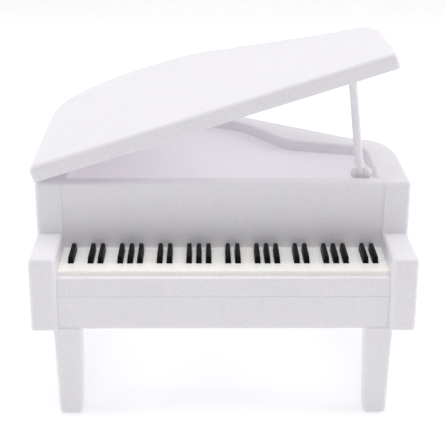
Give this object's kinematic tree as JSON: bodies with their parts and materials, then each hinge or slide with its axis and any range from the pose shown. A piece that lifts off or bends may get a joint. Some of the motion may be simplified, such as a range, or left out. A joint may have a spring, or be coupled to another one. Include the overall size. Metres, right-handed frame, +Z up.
{
  "type": "miniature grand piano",
  "caption": "Miniature grand piano for a doll's house, with a lid that stands open on a folding prop, a full keyboard and tapered square legs.",
  "frame": {"origin": "on the surface that the feet stand on, below the middle of the footprint", "axes": "+X towards the treble end of the keyboard, +Y from the keyboard towards the tail, +Z up"},
  "size_m": [0.1214, 0.1134, 0.1139],
  "materials": {
    "white_plastic": "satin",
    "key_ivory": "satin",
    "key_black": "gloss",
    "steel": "satin"
  },
  "bodies": {
    "case": {"case_rim": "white_plastic", "soundboard": "white_plastic", "fallboard": "white_plastic", "left_arm": "white_plastic", "right_arm": "white_plastic", "base_tray": "white_plastic", "key_slip": "white_plastic", "keybed": "white_plastic", "front_left_leg": "white_plastic", "front_right_leg": "white_plastic", "rear_leg": "white_plastic", "prop_bracket": "white_plastic", "prop_pin": "white_plastic", "white_keys": "key_ivory", "black_keys": "key_black", "case_screws": "steel", "keyboard_screws": "steel", "leg_screws": "steel", "prop_bracket_screw": "steel", "hinge_pins": "steel"},
    "lid": {"lid": "white_plastic"},
    "prop": {"prop_stick": "white_plastic"}
  },
  "joints": [
    {"name": "lid_hinge", "type": "hinge", "parent": "case", "child": "lid", "pos_m": [-0.06, 0, 0.0722], "axis": [0, -1, 0], "range_deg": [0, 60]},
    {"name": "prop_pivot", "type": "hinge", "parent": "case", "child": "prop", "pos_m": [0.0441, -0.0279, 0.073], "axis": [-1, 0, 0], "range_deg": [0, 89]}
  ]
}
